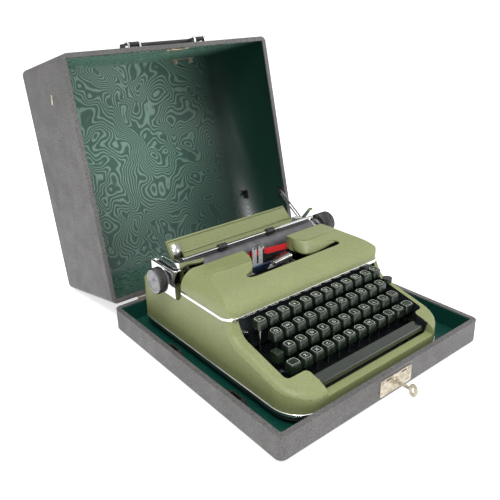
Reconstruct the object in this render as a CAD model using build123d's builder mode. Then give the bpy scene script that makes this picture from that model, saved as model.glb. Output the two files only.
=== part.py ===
from build123d import *
from math import atan2, cos, degrees, hypot, radians, sin
import os

# A portable typewriter standing in the tray of its carrying case, with the lid open.
# Millimetres. X runs to the typist's right, Y towards the lid, Z up from the table.

# ---------------------------------------------------------------- driving dimensions

# Carrying case
case_width = 356.0
case_depth = 352.0
case_wall = 7.0
case_corner = 9.0
case_edge = 2.5
foot_height = 3.0
foot_radius = 8.0
foot_inset = 28.0
tray_height = 32.0
tray_floor = 5.0
lid_height = 163.0
lid_open_angle = 102.5
lining_thickness = 1.0
rim_gap = 0.2

# Case hinges, handle and lock
hinge_offset = 2.2
hinge_pin_radius = 1.2
knuckle_radius = 2.1
leaf_width = 40.0
leaf_height = 22.0
leaf_thickness = 1.2
hinge_spacing = 236.0
handle_width = 150.0
handle_reach = 24.0
handle_thickness = 8.0
handle_pivot_height = 19.0
handle_pin_radius = 2.0
lock_x = 4.0
lock_width = 57.0
lock_height = 22.0
lock_plate_thickness = 1.2
key_shaft_radius = 2.2
stay_length = 158.0
stay_width = 8.0
stay_thickness = 1.6
stay_pivot_reach = 92.0
stay_pivot_height = 6.0
stay_folded_angle = 137.5

# Machine shell
machine_x = -10.0
body_width = 268.0
body_front = -163.0
body_back = 152.0
body_bottom = 23.0
body_top = 95.0
body_wall = 2.5
front_corner = 38.0
rim_round = 7.0
well_corner = 6.0
back_corner = 14.0
rear_deck_top = 83.0
pan_floor = 2.0
pan_height = 6.0
machine_foot_radius = 9.0
trim_height = 4.0
trim_width = 4.0
cover_front = -50.0
cover_back = 48.0
cover_height = 28.5
cover_wall = 2.0
cover_corner = 16.0
cover_pivot_y = 44.0
cover_pivot_z = 117.0
cover_pivot_inset = 17.0
cover_pin_radius = 1.5
well_left = -128.0
well_right = 113.0
well_front = -131.0
well_back = -47.0
well_wall = 2.0
deck_opening_inset = 10.0

# Keyboard
key_pitch = 18.6
key_size = 15.0
key_cap_height = 11.0
key_cap_taper = 4.0
key_cap_corner = 2.6
first_key_x = -105.7
key_row_y = (-60.0, -77.7, -95.4, -113.0)
key_row_top = (93.0, 82.0, 71.0, 60.0)
key_row_count = (12, 11, 11, 10)
key_row_shift = (0.0, 0.5, 0.75, 1.25)
home_key_index = 4
lever_thickness = 1.2
lever_height = 7.0
lever_stem = 3.0
lever_shaft_y = 118.0
lever_shaft_z = 36.0
lever_shaft_radius = 2.5
shift_left_x = -101.5
shift_right_x = 103.6
shift_key_width = 17.0
shift_lock_x = -110.4
shift_bar_y = 99.0
shift_bar_top = 26.5
tabulator_x = 105.0
tabulator_y = -78.5
tabulator_top = 84.0
tabulator_radius = 6.6
space_bar_left = -92.0
space_bar_right = 90.0
space_bar_front = -150.0
space_bar_back = -133.0
space_bar_bottom = 38.0
space_bar_top = 48.0
apron_top = 38.5
apron_side = 5.0
space_shaft_y = 45.0
space_shaft_z = 25.5
space_shaft_radius = 1.8

# Type basket and ribbon
segment_y = 45.0
pivot_radius = 46.0
print_height = 110.0
type_bar_length = 47.1
type_bar_thickness = 0.8
type_bar_width = 3.0
type_bar_pitch = 3.5
type_bars_each_side = 20
rest_angle = 98.0
ribbon_height = 12.0
ribbon_bottom = 101.5
ribbon_thickness = 0.3
ribbon_line_y = 59.0
spool_offset = 88.0
spool_y = 8.0
spool_radius = 24.0
spool_pack_radius = 18.0
spindle_radius = 2.5

# Carriage
platen_y = 76.0
platen_z = 110.0
platen_radius = 16.0
platen_half_length = 115.0
platen_shaft_radius = 4.0
knob_radius = 17.0
knob_left_width = 13.0
knob_right_width = 22.0
collar_radius = 10.0
left_block_width = 17.0
right_block_width = 8.0
end_plate = 3.0
carriage_front = 57.0
carriage_back = 120.0
carriage_bottom = 85.8
carriage_plate = 2.5
end_plate_top = 122.0
rail_front = 92.0
rail_back = 112.0
rail_top = 80.0
rail_thickness = 6.0
roller_radius = 2.6
cage_half_length = 8.0
paper_table_bottom = (95.0, 100.0)
paper_table_top = (118.0, 139.0)
paper_table_half_width = 110.0
paper_table_thickness = 1.6
bail_y = 68.7
bail_z = 130.4
bail_pivot_y = 97.0
bail_pivot_z = 118.0
bail_rod_radius = 1.4
bail_roller_radius = 4.6
bail_roller_width = 13.0
bail_roller_x = (-62.0, 23.0)
line_lever_pivot = (-140.0, 106.0)
line_lever_thickness = 3.0
lever_blade_height = 10.0
body_ear_back = 46.0
release_pivot_y = 104.0
release_pivot_z = 112.0

# Clearances
running = 0.06
side_gap = 0.3
seat_gap = 0.5

# ---------------------------------------------------------------- derived places

half_width = case_width / 2
half_depth = case_depth / 2
tray_bottom = foot_height
tray_floor_top = tray_bottom + tray_floor
tray_rim = tray_bottom + tray_height
lining_top = tray_floor_top + lining_thickness
hinge_y = half_depth + hinge_offset
hinge_z = tray_rim + rim_gap
body_left = machine_x - body_width / 2
body_right = machine_x + body_width / 2
body_depth = body_back - body_front
pan_bottom = body_bottom - pan_height
pan_floor_top = pan_bottom + pan_floor
cover_bottom = body_top + trim_height
cover_top = cover_bottom + cover_height
key_slot = key_pitch / 4
carriage_left = machine_x - platen_half_length - 2.0
carriage_right = machine_x + platen_half_length + 2.0
left_block_end = carriage_left - end_plate - left_block_width
right_block_end = carriage_right + end_plate + right_block_width

# The lid's own plane: X along the hinge, Y from front to back and Z up when the lid is shut.
lid_tilt = radians(lid_open_angle)
lid_plane = Plane(origin=(0, hinge_y, hinge_z), x_dir=(1, 0, 0), z_dir=(0, sin(lid_tilt), cos(lid_tilt)))
lid_front = -hinge_offset - case_depth
lid_back = -hinge_offset
lid_up = Axis((0, 0, 0), lid_plane.z_dir)


# ---------------------------------------------------------------- shared shapes

def block(x, y, z, mode=Mode.ADD):
    """A box between two values on each axis."""
    with Locations(((x[0] + x[1]) / 2, (y[0] + y[1]) / 2, (z[0] + z[1]) / 2)):
        Box(x[1] - x[0], y[1] - y[0], z[1] - z[0], mode=mode)


def rod_x(radius, x, y, z, mode=Mode.ADD):
    """A round bar along X."""
    with Locations(Location(((x[0] + x[1]) / 2, y, z), (0, 90, 0))):
        Cylinder(radius, x[1] - x[0], mode=mode)


def rod_y(radius, x, y, z, mode=Mode.ADD):
    """A round bar along Y."""
    with Locations(Location((x, (y[0] + y[1]) / 2, z), (90, 0, 0))):
        Cylinder(radius, y[1] - y[0], mode=mode)


def rod_z(radius, x, y, z, mode=Mode.ADD):
    """A round bar along Z."""
    with Locations((x, y, (z[0] + z[1]) / 2)):
        Cylinder(radius, z[1] - z[0], mode=mode)


def side_plate(points, x, mode=Mode.ADD):
    """A flat plate across X, cut to an outline of Y, Z points."""
    with BuildSketch(Plane.YZ.offset(x[0])) as outline:
        Polygon(*points, align=None)
    extrude(outline.sketch, amount=x[1] - x[0], mode=mode)


def rounded_sheet(width, depth, corner, y, z):
    """A rounded rectangle on a level plane."""
    with BuildSketch(Plane.XY.offset(z)) as sheet:
        with Locations((0, y)):
            RectangleRounded(width, depth, corner)
    return sheet.sketch


# ---------------------------------------------------------------- carrying case, lower half

with BuildPart() as case_tray:
    extrude(rounded_sheet(case_width, case_depth, case_corner, 0, tray_bottom), amount=tray_height)
    fillet(case_tray.faces().sort_by(Axis.Z)[0].edges(), case_edge)
    extrude(
        rounded_sheet(case_width - 2 * case_wall, case_depth - 2 * case_wall, 3, 0, tray_floor_top),
        amount=tray_height,
        mode=Mode.SUBTRACT,
    )
    rod_y(key_shaft_radius * 2, lock_x, (-half_depth - 1, -half_depth + case_wall + 1),
          tray_bottom + tray_height / 2, mode=Mode.SUBTRACT)
case_tray.part.label = "case_tray"

lining_width = case_width - 2 * case_wall
lining_depth = case_depth - 2 * case_wall
lining_wall_height = tray_height - tray_floor - 1.5
with BuildPart() as tray_lining:
    extrude(rounded_sheet(lining_width, lining_depth, 3, 0, tray_floor_top), amount=lining_wall_height)
    extrude(
        rounded_sheet(lining_width - 2 * lining_thickness, lining_depth - 2 * lining_thickness, 2, 0, lining_top),
        amount=lining_wall_height,
        mode=Mode.SUBTRACT,
    )
    rod_y(key_shaft_radius * 2, lock_x, (-lining_depth / 2 - 1, -lining_depth / 2 + 3),
          tray_bottom + tray_height / 2, mode=Mode.SUBTRACT)
tray_lining.part.label = "tray_lining"

with BuildPart() as case_feet:
    with BuildSketch():
        with GridLocations(case_width - 2 * foot_inset, case_depth - 2 * foot_inset, 2, 2):
            Circle(foot_radius)
        Circle(foot_radius)
    extrude(amount=foot_height)
    chamfer(case_feet.faces().filter_by(Axis.Z).group_by(Axis.Z)[0].edges(), 0.8)
case_feet.part.label = "case_feet"

lock_z = tray_bottom + tray_height / 2
lock_face = -half_depth - lock_plate_thickness
boss_depth = 1.5
with BuildPart() as lock_plate:
    with BuildSketch(Plane.XZ.offset(half_depth)):
        with Locations((lock_x, lock_z)):
            RectangleRounded(lock_width, lock_height, 2.5)
        with Locations((lock_x - lock_width / 4, lock_z + lock_height / 2 - 2.5),
                       (lock_x + lock_width / 4, lock_z + lock_height / 2 - 2.5)):
            Rectangle(9, 2.4, mode=Mode.SUBTRACT)
    extrude(amount=lock_plate_thickness)
    rod_y(5.5, lock_x, (lock_face - boss_depth, lock_face), lock_z)
    rod_y(key_shaft_radius + running, lock_x, (lock_face - 3, -half_depth + 1), lock_z, mode=Mode.SUBTRACT)
    for rivet_x in (-1, 1):
        for rivet_z in (-1, 1):
            rod_y(1.6, lock_x + rivet_x * (lock_width / 2 - 4), (lock_face - 0.8, lock_face),
                  lock_z + rivet_z * (lock_height / 2 - 4))
lock_plate.part.label = "lock_plate"

key_collar = lock_face - boss_depth - side_gap
key_bow_start = key_collar - 18
with BuildPart() as case_key:
    rod_y(key_shaft_radius, lock_x, (key_bow_start, -half_depth + 4), lock_z)
    rod_y(3.4, lock_x, (key_collar - 2, key_collar), lock_z)
    with BuildSketch(Plane.YZ.offset(lock_x - 1)) as bow:
        with Locations((key_bow_start - 4, lock_z)):
            Ellipse(6, 8.5)
            SlotOverall(8, 3, rotation=90, mode=Mode.SUBTRACT)
    extrude(bow.sketch, amount=2)
case_key.part.label = "case_key"

bracket_points = ((-22, 0), (22, 0), (13, 12), (-13, 12))
with BuildPart() as tray_brackets:
    for side in (-1, 1):
        wall_x = side * (half_width - case_wall - lining_thickness)
        for bracket_y in (-78.0, 52.0):
            outline = [(bracket_y + y, lining_top + z) for y, z in bracket_points]
            x_range = sorted((wall_x, wall_x - side * 16.0))
            side_plate(outline, x_range)
            block(sorted((wall_x - side * 2, wall_x - side * 14)), (bracket_y - 9, bracket_y + 9),
                  (lining_top + 3, lining_top + 13), mode=Mode.SUBTRACT)
        block(sorted((wall_x - side * 4, wall_x - side * 14)), (-22, -12), (lining_top, lining_top + 5))
tray_brackets.part.label = "tray_brackets"


def knuckles(leaf_x, spans, radius_gap, mode=Mode.ADD):
    """Hinge knuckles round the pin axis, one for each span along X."""
    for start, end in spans:
        rod_x(radius_gap, (leaf_x + start, leaf_x + end), 0, 0, mode=mode)


pin_span = (-leaf_width / 2, leaf_width / 2)
outer_spans = ((-leaf_width / 2, -10), (10, leaf_width / 2))
inner_spans = ((-10 + side_gap, 10 - side_gap),)
hinge_centres = (-hinge_spacing / 2, hinge_spacing / 2)
hinge_plane = Plane(origin=(0, hinge_y, hinge_z))
with BuildPart(hinge_plane) as tray_hinges:
    for leaf_x in hinge_centres:
        block((leaf_x - leaf_width / 2, leaf_x + leaf_width / 2),
              (-hinge_offset, -hinge_offset + leaf_thickness), (-leaf_height, -knuckle_radius - 0.4))
        for start, end in outer_spans:
            block((leaf_x + start, leaf_x + end), (-hinge_offset, -hinge_offset + leaf_thickness),
                  (-knuckle_radius - 1, -0.5))
        knuckles(leaf_x, outer_spans, knuckle_radius)
        knuckles(leaf_x, outer_spans, hinge_pin_radius + running, mode=Mode.SUBTRACT)
        knuckles(leaf_x, (pin_span,), hinge_pin_radius)
tray_hinges.part.label = "tray_hinges"

# ---------------------------------------------------------------- carrying case, lid

with BuildPart(lid_plane) as lid_shell:
    with Locations((0, (lid_front + lid_back) / 2, lid_height / 2)):
        Box(case_width, case_depth, lid_height)
    fillet(lid_shell.edges().filter_by(lid_up), case_corner)
    fillet(lid_shell.faces().sort_by(lid_up)[-1].edges(), case_edge)
    with Locations((0, (lid_front + lid_back) / 2, (lid_height - case_wall) / 2)):
        Box(case_width - 2 * case_wall, case_depth - 2 * case_wall, lid_height - case_wall, mode=Mode.SUBTRACT)
lid_shell.part.label = "lid_shell"

with BuildPart(lid_plane) as lid_lining:
    lining_height = lid_height - case_wall - 1.5
    with Locations((0, (lid_front + lid_back) / 2, 1.5 + lining_height / 2)):
        Box(lining_width, lining_depth, lining_height)
    with Locations((0, (lid_front + lid_back) / 2, 1.5 + (lining_height - lining_thickness) / 2)):
        Box(lining_width - 2 * lining_thickness, lining_depth - 2 * lining_thickness,
            lining_height - lining_thickness, mode=Mode.SUBTRACT)
lid_lining.part.label = "lid_lining"

with BuildPart(lid_plane) as lid_hinges:
    for leaf_x in hinge_centres:
        block((leaf_x - leaf_width / 2, leaf_x + leaf_width / 2),
              (-hinge_offset, -hinge_offset + leaf_thickness), (knuckle_radius + 0.4, leaf_height))
        for start, end in inner_spans:
            block((leaf_x + start, leaf_x + end), (-hinge_offset, -hinge_offset + leaf_thickness),
                  (0.5, knuckle_radius + 1))
        knuckles(leaf_x, inner_spans, knuckle_radius)
        knuckles(leaf_x, inner_spans, hinge_pin_radius + running, mode=Mode.SUBTRACT)
lid_hinges.part.label = "lid_hinges"

mount_width = 34.0
mount_standoff = 7.0
handle_pivot = lid_front - mount_standoff
mount_centres = (-handle_width / 2 + mount_width / 2, handle_width / 2 - mount_width / 2)
with BuildPart(lid_plane) as handle_mounts:
    for centre in mount_centres:
        block((centre - mount_width / 2, centre + mount_width / 2), (lid_front - 1.5, lid_front),
              (handle_pivot_height - 8, handle_pivot_height + 8))
        for edge in (-1, 1):
            lug = sorted((centre + edge * 11.0, centre + edge * 8.0))
            block(lug, (handle_pivot, lid_front), (handle_pivot_height - 4, handle_pivot_height + 4))
            rod_x(4, lug, handle_pivot, handle_pivot_height)
            rod_x(handle_pin_radius + running, lug, handle_pivot, handle_pivot_height, mode=Mode.SUBTRACT)
handle_mounts.part.label = "handle_mounts"

grip_far = handle_pivot_height + handle_reach
with BuildPart(lid_plane) as handle_grip:
    for centre in mount_centres:
        block((centre - 7.5, centre + 7.5), (handle_pivot - 3, handle_pivot + 3),
              (handle_pivot_height, grip_far))
        rod_x(3, (centre - 7.5, centre + 7.5), handle_pivot, handle_pivot_height)
        rod_x(handle_pin_radius, (centre - 13, centre + 13), handle_pivot, handle_pivot_height)
    rod_x(handle_thickness / 2, (mount_centres[0] - 7.5, mount_centres[1] + 7.5), handle_pivot, grip_far)
handle_grip.part.label = "handle_grip"

hasp_front = lid_front + case_wall + lining_thickness
with BuildPart(lid_plane) as lid_hasp:
    block((lock_x - 18, lock_x + 18), (hasp_front, hasp_front + 1.5), (-0.2, 16))
    for prong in (-12, 12):
        block((lock_x + prong - 3, lock_x + prong + 3), (hasp_front + 0.4, hasp_front + 1.5), (-8, 0))
lid_hasp.part.label = "lid_hasp"

clip_x = (84.0, 128.0)
clip_low = 142.0
with BuildPart(lid_plane) as tool_clip:
    block(clip_x, (hasp_front, hasp_front + 1.2), (clip_low, clip_low + 13))
    for x in (clip_x[0] + 4, clip_x[1] - 8):
        block((x, x + 4), (hasp_front + 1.2, hasp_front + 9), (clip_low + 2, clip_low + 3.2))
        block((x, x + 4), (hasp_front + 1.2, hasp_front + 9), (clip_low + 9.8, clip_low + 11))
tool_clip.part.label = "tool_clip"

stay_x = half_width - case_wall - lining_thickness - 3.0
stay_pivot = (hinge_y + stay_pivot_reach * -cos(lid_tilt) + stay_pivot_height * sin(lid_tilt),
              hinge_z + stay_pivot_reach * sin(lid_tilt) + stay_pivot_height * cos(lid_tilt))
stay_turn = lid_open_angle - stay_folded_angle
stay_axis = Plane(origin=(stay_x, stay_pivot[0], stay_pivot[1]), x_dir=(0, -cos(radians(stay_turn)),
                  sin(radians(stay_turn))), z_dir=(1, 0, 0))
with BuildPart() as lid_stay:
    with BuildSketch(stay_axis):
        with Locations((stay_length / 2, 0)):
            SlotCenterToCenter(stay_length, stay_width)
        with Locations((stay_length / 2 + 12, 0)):
            SlotCenterToCenter(stay_length - 36, stay_width / 2.5, mode=Mode.SUBTRACT)
        Circle(hinge_pin_radius + running, mode=Mode.SUBTRACT)
    extrude(amount=-stay_thickness)
lid_stay.part.label = "lid_stay"

with BuildPart(lid_plane) as stay_bracket:
    stay_local_y = -stay_pivot_reach
    wall_face = half_width - case_wall - lining_thickness
    block((wall_face - 1.2, wall_face), (stay_local_y - 10, stay_local_y + 10), (1.5, 16))
    rod_x(hinge_pin_radius, (stay_x - stay_thickness - 0.6, wall_face), stay_local_y, stay_pivot_height)
    rod_x(2.4, (stay_x - stay_thickness - 1.4, stay_x - stay_thickness - side_gap), stay_local_y, stay_pivot_height)
    block((wall_face - 1.2, wall_face), (-94, -78), (104, 118))
    block((wall_face - 9, wall_face), (-94, -92.6), (104, 118))
stay_bracket.part.label = "stay_bracket"

# ---------------------------------------------------------------- machine shell


def body_outline(inset, z):
    """The machine's plan, with large front corners."""
    with BuildSketch(Plane.XY.offset(z)) as plan:
        with Locations((machine_x, (body_front + body_back) / 2)):
            Rectangle(body_width - 2 * inset, body_depth - 2 * inset)
        fillet(plan.vertices().group_by(Axis.Y)[0], front_corner - inset)
        fillet(plan.vertices().group_by(Axis.Y)[-1], back_corner - inset)
    return plan.sketch


def rim_edges(part, inset):
    """The upper outer edges of the keyboard deck, along both sides and round the front corners."""
    rim = []
    for edge in part.edges():
        reach = edge.bounding_box()
        middle = edge.position_at(0.5)
        upright = reach.size.X < 0.01 and reach.size.Y < 0.01
        along_side = reach.size.X < 0.01 and min(middle.X - body_left, body_right - middle.X) < inset + 0.1
        round_front = middle.Y < body_front + front_corner and reach.size.X > 1
        across_deck = reach.size.Y < 0.01 and middle.Y > body_front + inset + 1
        if reach.min.Z > body_bottom + 1 and reach.max.Y < well_back + 0.1 and not upright:
            if (along_side or round_front) and not across_deck:
                rim.append(edge)
    return rim


def body_volume(inset, bottom):
    """The machine's outer form, or its hollow when inset by the wall."""
    with BuildPart() as volume:
        extrude(body_outline(inset, bottom), amount=body_top - bottom)
        with BuildSketch(Plane.YZ) as profile:
            with BuildLine():
                Polyline((body_front - 1, bottom), (body_front - 1, 40 - inset))
                Spline((body_front - 1, 40 - inset), (body_front + 8, 50.5 - inset),
                       (body_front + 24, 55 - inset), tangents=((0.2, 1), (1, 0.2)))
                Line((body_front + 24, 55 - inset), (-66, 73 - inset))
                Spline((-66, 73 - inset), (-47, body_top - inset), tangents=((1, 0.22), (0.5, 1)))
                Polyline((-47, body_top - inset), (46, body_top - inset), (55, rear_deck_top - inset),
                         (body_back + 1, rear_deck_top - inset), (body_back + 1, bottom),
                         (body_front - 1, bottom))
            make_face()
        extrude(profile.sketch, amount=body_width, both=True, mode=Mode.INTERSECT)
        fillet(rim_edges(volume.part, inset), rim_round - inset)
    return volume.part


def well_outline(grow, z):
    """The keyboard opening with the space bar's notch in front of it."""
    notch_front = space_bar_front - 2.0
    with BuildSketch(Plane.XY.offset(z)) as plan:
        with Locations(((well_left + well_right) / 2, (well_front + well_back) / 2)):
            Rectangle(well_right - well_left, well_back - well_front)
        with Locations(((space_bar_left + space_bar_right) / 2, (notch_front + well_front) / 2)):
            Rectangle(space_bar_right - space_bar_left + 2 * apron_side, well_front - notch_front)
        fillet(plan.vertices().filter_by(lambda corner: corner.Y < well_back - 1), well_corner)
        if grow:
            offset(amount=grow)
    return plan.sketch


body_outside = body_volume(0, body_bottom)
body_inside = body_volume(body_wall, body_bottom)
well_floor = 34.0
selector_x = -120.5
selector_z = 73.0
selector_radius = 6.3
with BuildPart() as well_frame:
    extrude(well_outline(well_wall, well_floor), amount=body_top - well_floor)
    extrude(well_outline(0, well_floor), amount=body_top - well_floor, mode=Mode.SUBTRACT)
    block((well_left - 0.5, well_right + 0.5), (well_back - 0.5, well_back + well_wall + 1),
          (well_floor - 1, lever_shaft_z + 12), mode=Mode.SUBTRACT)
    for cheek in (space_bar_left - apron_side, space_bar_right + apron_side):
        block((cheek - 3, cheek + 3), (body_front, space_bar_front - 1), (apron_top - 4, body_top))
    block((space_bar_left - apron_side, space_bar_right + apron_side), (body_front, space_bar_front - 3),
          (apron_top - 3, apron_top + 1))
    add(body_outside, mode=Mode.INTERSECT)

with BuildPart() as body_shell:
    add(body_outside)
    add(body_inside, mode=Mode.SUBTRACT)
    block((body_left + deck_opening_inset, body_right - deck_opening_inset), (-38, body_back - deck_opening_inset),
          (rear_deck_top - 2 * body_wall, body_top + 1), mode=Mode.SUBTRACT)
    extrude(well_outline(0, well_floor), amount=body_top, mode=Mode.SUBTRACT)
    add(well_frame.part)
    block((space_bar_left - apron_side, space_bar_right + apron_side), (body_front - 1, space_bar_front),
          (apron_top, body_top), mode=Mode.SUBTRACT)
    rod_y(2 + running, selector_x, (well_back - 1, well_back + well_wall + 1), selector_z, mode=Mode.SUBTRACT)
    for side in (-1, 1):
        face = machine_x + side * body_width / 2
        ear = sorted((face - side * (cover_pivot_inset - 1), face - side * (cover_pivot_inset + 1)))
        block(sorted((face - side * 5, face - side * (cover_pivot_inset + 1))),
              (cover_pivot_y - 4, body_ear_back), (body_top - 1, body_top + 1.5))
        block(ear, (cover_pivot_y - 4, body_ear_back), (body_top, cover_pivot_z + 3))
        rod_x(cover_pin_radius + running, ear, cover_pivot_y, cover_pivot_z, mode=Mode.SUBTRACT)
body_shell.part.label = "body_shell"

with BuildPart() as ribbon_selector:
    rod_y(selector_radius, selector_x, (well_back - 7, well_back - 0.6), selector_z)
    rod_y(2, selector_x, (well_back - 1, well_back + well_wall + 3), selector_z)
    block((selector_x - 1, selector_x + 1), (well_back - 8.5, well_back - 7), (selector_z - 5, selector_z + 5))
ribbon_selector.part.label = "ribbon_selector"

with BuildPart() as base_pan:
    extrude(body_outline(1.0, pan_bottom), amount=pan_height)
    extrude(body_outline(4.0, pan_floor_top), amount=pan_height, mode=Mode.SUBTRACT)
base_pan.part.label = "base_pan"

machine_foot_top = pan_bottom
with BuildPart() as machine_feet:
    with BuildSketch(Plane.XY.offset(lining_top)):
        with Locations((machine_x, 0)):
            with GridLocations(body_width - 56, body_depth - 64, 2, 2):
                Circle(machine_foot_radius)
    extrude(amount=machine_foot_top - lining_top)
machine_feet.part.label = "machine_feet"


def cover_outline(inset, z, back):
    """The plan of the trim and of the top cover."""
    with BuildSketch(Plane.XY.offset(z)) as plan:
        with Locations((machine_x, (cover_front + inset + back) / 2)):
            Rectangle(body_width - 2 * inset, back - cover_front - inset)
        fillet(plan.vertices().group_by(Axis.Y)[0], cover_corner - inset)
    return plan.sketch


with BuildPart() as trim_strip:
    extrude(cover_outline(-0.6, body_top, cover_back), amount=trim_height)
    extrude(cover_outline(trim_width, body_top, cover_back + 20), amount=trim_height, mode=Mode.SUBTRACT)
trim_strip.part.label = "trim_strip"


def cover_volume(inset, back):
    """The domed form of the top cover, or its hollow."""
    top = cover_top - inset
    with BuildPart() as volume:
        extrude(cover_outline(inset, cover_bottom, back), amount=cover_height + 4)
        with BuildSketch(Plane.YZ) as side_view:
            with BuildLine():
                Spline((cover_front + inset - 1, cover_bottom), (cover_front + 8 + inset, top - 13.5),
                       (-18, top - 5.5), (14, top - 0.6), (back, top - 1.8), tangents=((0.1, 1), (1, -0.08)))
                Polyline((back, top - 1.8), (back, cover_bottom), (cover_front + inset - 1, cover_bottom))
            make_face()
        extrude(side_view.sketch, amount=body_width, both=True, mode=Mode.INTERSECT)
        left = body_left - 1 + inset
        right = body_right + 1 - inset
        with BuildSketch(Plane.XZ) as front_view:
            with BuildLine():
                Spline((left, cover_bottom), (left + 8, top - 8), (left + 30, top - 0.5),
                       tangents=((0.05, 1), (1, 0.06)))
                Spline((left + 30, top - 0.5), (machine_x, top + 1), (right - 30, top - 0.5),
                       tangents=((1, 0.06), (1, -0.06)))
                Spline((right - 30, top - 0.5), (right - 8, top - 8), (right, cover_bottom),
                       tangents=((1, -0.06), (0.05, -1)))
                Line((right, cover_bottom), (left, cover_bottom))
            make_face()
        extrude(front_view.sketch, amount=body_depth, both=True, mode=Mode.INTERSECT)
    return volume.part


opening_front = -17.0
with BuildSketch(Plane.XY.offset(cover_bottom - 1)) as cover_opening:
    with BuildLine():
        Spline((-43, cover_back + 2), (-50, 26), (-61, 6), (-80, -7), tangents=((-0.1, -1), (-1, -0.25)))
        Spline((-80, -7), (-84, -11), (-74, opening_front), tangents=((-1, -0.3), (1, -0.1)))
        Line((-74, opening_front), (62, opening_front))
        Spline((62, opening_front), (80, -10), (76, -5), tangents=((1, 0), (-1, 0.4)))
        Spline((76, -5), (56, 5), (42, 14), (34, 26), (33, 38), (37, cover_back + 2),
               tangents=((-1, 0.4), (0.3, 1)))
        Line((37, cover_back + 2), (-43, cover_back + 2))
    make_face()

lobe_flange = 19.0
left_lobe = ((-45.2, 53), (-48.6, 38), (-52, 26), (-57.2, 14), (-63, 4.4), (-71, -2), (-82, -9.5),
             (-78, -9.5), (-66, -4), (-56, 5), (-46, 26), (-41, 53))
right_lobe = ((39.6, 53), (35.2, 38), (36.3, 27), (43.4, 16), (57.2, 7.2), (78, -3.4), (78, -9),
              (72, -9), (53, 2), (38, 11), (30, 25), (29, 38), (33, 53))
with BuildSketch(Plane.XY.offset(cover_top - lobe_flange)) as lobe_walls:
    Polygon(*left_lobe, align=None)
    Polygon(*right_lobe, align=None)

cover_outside = cover_volume(0, cover_back)
cover_inside = cover_volume(cover_wall, cover_back + 3)
ear_x = (cover_pivot_inset + 1.3, cover_pivot_inset + 3.3)
with BuildPart() as flange:
    extrude(lobe_walls.sketch, amount=lobe_flange + 6)
    side_plate(((-20, cover_bottom), (-20, cover_top - 4), (-2, cover_top - 9), (9.5, cover_top - 11.2),
                (14, cover_top - 19.5), (18, cover_bottom)), (body_left, body_right), mode=Mode.SUBTRACT)
    for side in (-1, 1):
        face = machine_x + side * body_width / 2
        block(sorted((face - side * ear_x[0], face - side * ear_x[1])),
              (cover_pivot_y - 3, cover_pivot_y + 3), (cover_pivot_z - 3, cover_top))
    add(cover_outside, mode=Mode.INTERSECT)

rear_relief = 1.5
with BuildPart() as top_cover:
    add(cover_outside)
    add(cover_inside, mode=Mode.SUBTRACT)
    add(flange.part)
    extrude(cover_opening.sketch, amount=cover_height + 10, mode=Mode.SUBTRACT)
    block((body_left - 1, body_right + 1), (cover_pivot_y - 8, cover_back + 1),
          (cover_bottom - 1, cover_bottom + rear_relief), mode=Mode.SUBTRACT)
    for side in (-1, 1):
        face = machine_x + side * body_width / 2
        rod_x(cover_pin_radius, sorted((face - side * (cover_pivot_inset - 1.6), face - side * ear_x[1])),
              cover_pivot_y, cover_pivot_z)
top_cover.part.label = "top_cover"

# ---------------------------------------------------------------- frame inside the machine

inner_plate_x = (first_key_x + 6.5 * key_slot, first_key_x + 34.5 * key_slot)
plate_thickness = 1.4
plate_outline = ((38, pan_floor_top), (134, pan_floor_top), (134, rail_top - rail_thickness),
                 (84, rail_top - rail_thickness), (84, 50), (38, 50))
outer_plate_x = (machine_x - 120.0, machine_x + 120.0)
with BuildPart() as frame_plates:
    for plate_x in (*inner_plate_x, *outer_plate_x):
        plate = (plate_x - plate_thickness / 2, plate_x + plate_thickness / 2)
        side_plate(plate_outline, plate)
        rod_x(lever_shaft_radius + running, plate, lever_shaft_y, lever_shaft_z, mode=Mode.SUBTRACT)
        rod_x(space_shaft_radius + running, plate, space_shaft_y, space_shaft_z, mode=Mode.SUBTRACT)
        block(plate, (shift_bar_y - 6, shift_bar_y + 6), (pan_floor_top, shift_bar_top + 2), mode=Mode.SUBTRACT)
frame_plates.part.label = "frame_plates"

shaft_ends = (outer_plate_x[0] - 3, outer_plate_x[1] + 3)
with BuildPart() as lever_shafts:
    rod_x(lever_shaft_radius, shaft_ends, lever_shaft_y, lever_shaft_z)
    rod_x(space_shaft_radius, shaft_ends, space_shaft_y, space_shaft_z)
lever_shafts.part.label = "lever_shafts"

with BuildPart() as carriage_rail:
    block((outer_plate_x[0] - 3, outer_plate_x[1] + 3), (rail_front, rail_back),
          (rail_top - rail_thickness, rail_top))
carriage_rail.part.label = "carriage_rail"

# ---------------------------------------------------------------- keyboard


def key_x(row, index):
    """The place of a key along its row."""
    return first_key_x + (key_row_shift[row] + index) * key_pitch


def key_cap(x, y, top, width):
    """A square cap with rounded corners and sloping sides."""
    with BuildSketch(Plane.XY.offset(top - key_cap_height)) as base:
        with Locations((x, y)):
            RectangleRounded(width, key_size, key_cap_corner)
    extrude(base.sketch, amount=key_cap_height, taper=key_cap_taper)


def key_lever(x, y, top):
    """A flat lever from the rear shaft to a stem under its cap."""
    low = lever_shaft_z - lever_height / 2
    high = lever_shaft_z + lever_height / 2
    cap_bottom = top - key_cap_height
    outline = ((lever_shaft_y, low), (lever_shaft_y, high), (y + lever_stem / 2, high),
               (y + lever_stem / 2, cap_bottom), (y - lever_stem / 2, cap_bottom), (y - lever_stem / 2, low))
    plate = (x - lever_thickness / 2, x + lever_thickness / 2)
    side_plate(outline, plate)
    rod_x(5, plate, lever_shaft_y, lever_shaft_z)
    rod_x(lever_shaft_radius + running, plate, lever_shaft_y, lever_shaft_z, mode=Mode.SUBTRACT)


def row_keys(row):
    """The keys of a row that print characters, without the home key and the back space key."""
    skipped = {(0, 0), (2, home_key_index)}
    return [key_x(row, index) for index in range(key_row_count[row]) if (row, index) not in skipped]


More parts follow.
